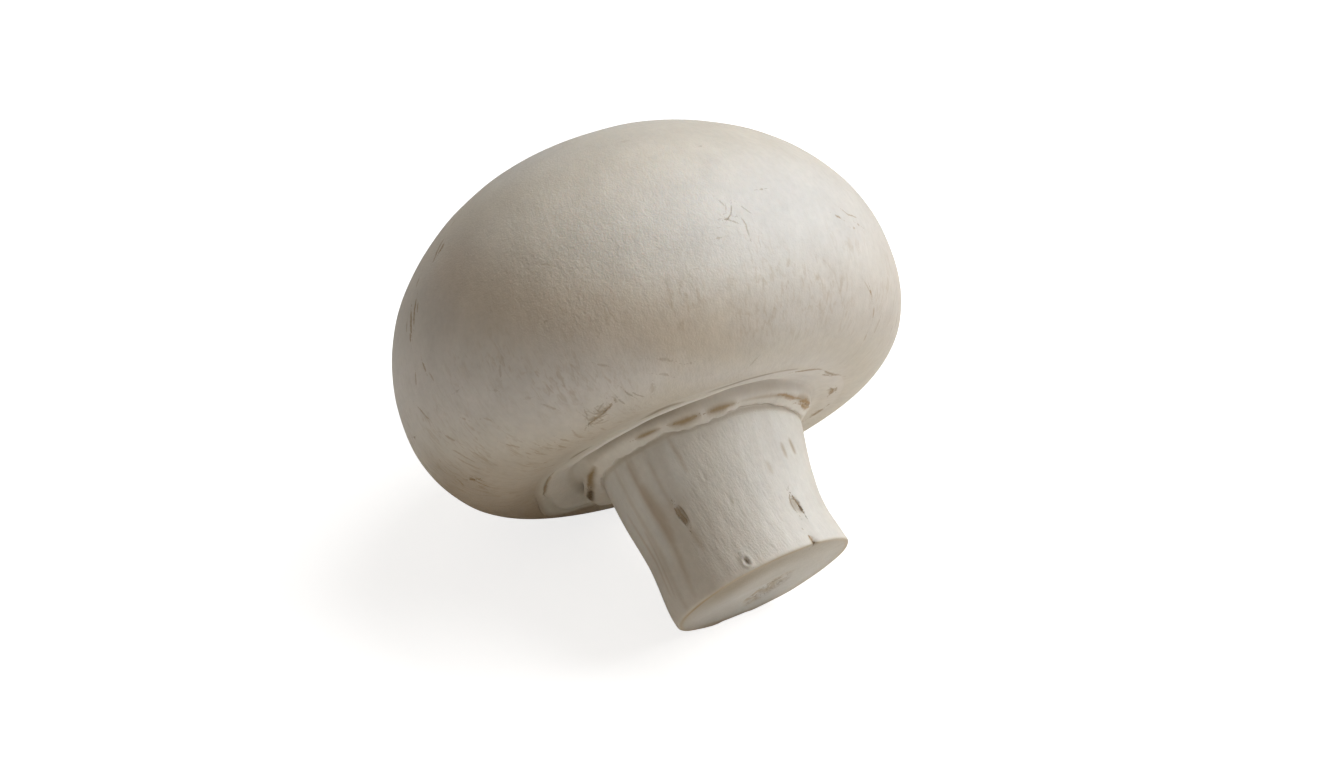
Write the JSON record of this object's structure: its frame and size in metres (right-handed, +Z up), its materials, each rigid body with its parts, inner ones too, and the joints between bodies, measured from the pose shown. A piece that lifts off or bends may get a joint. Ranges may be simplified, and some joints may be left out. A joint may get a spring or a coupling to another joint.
{
  "type": "button mushroom",
  "caption": "Closed-cup white mushroom, as picked: domed cap with a rolled-in margin, torn veil edge and a short stem with a knife-cut foot, lying on its side.",
  "frame": {"origin": "middle of the bounding box, on the plane the mushroom lies on", "axes": "+Z up; +X along the mushroom from cap to stem, seen from above; it lies on the side of its cap and the edge of the cut"},
  "size_m": [0.044, 0.045, 0.0411],
  "materials": {
    "mushroom_flesh": "dry satin off-white skin with fine fibres, a few brown fibre flecks and a paler fibrous stem"
  },
  "bodies": {
    "root": {"button_mushroom": "mushroom_flesh"}
  },
  "joints": []
}
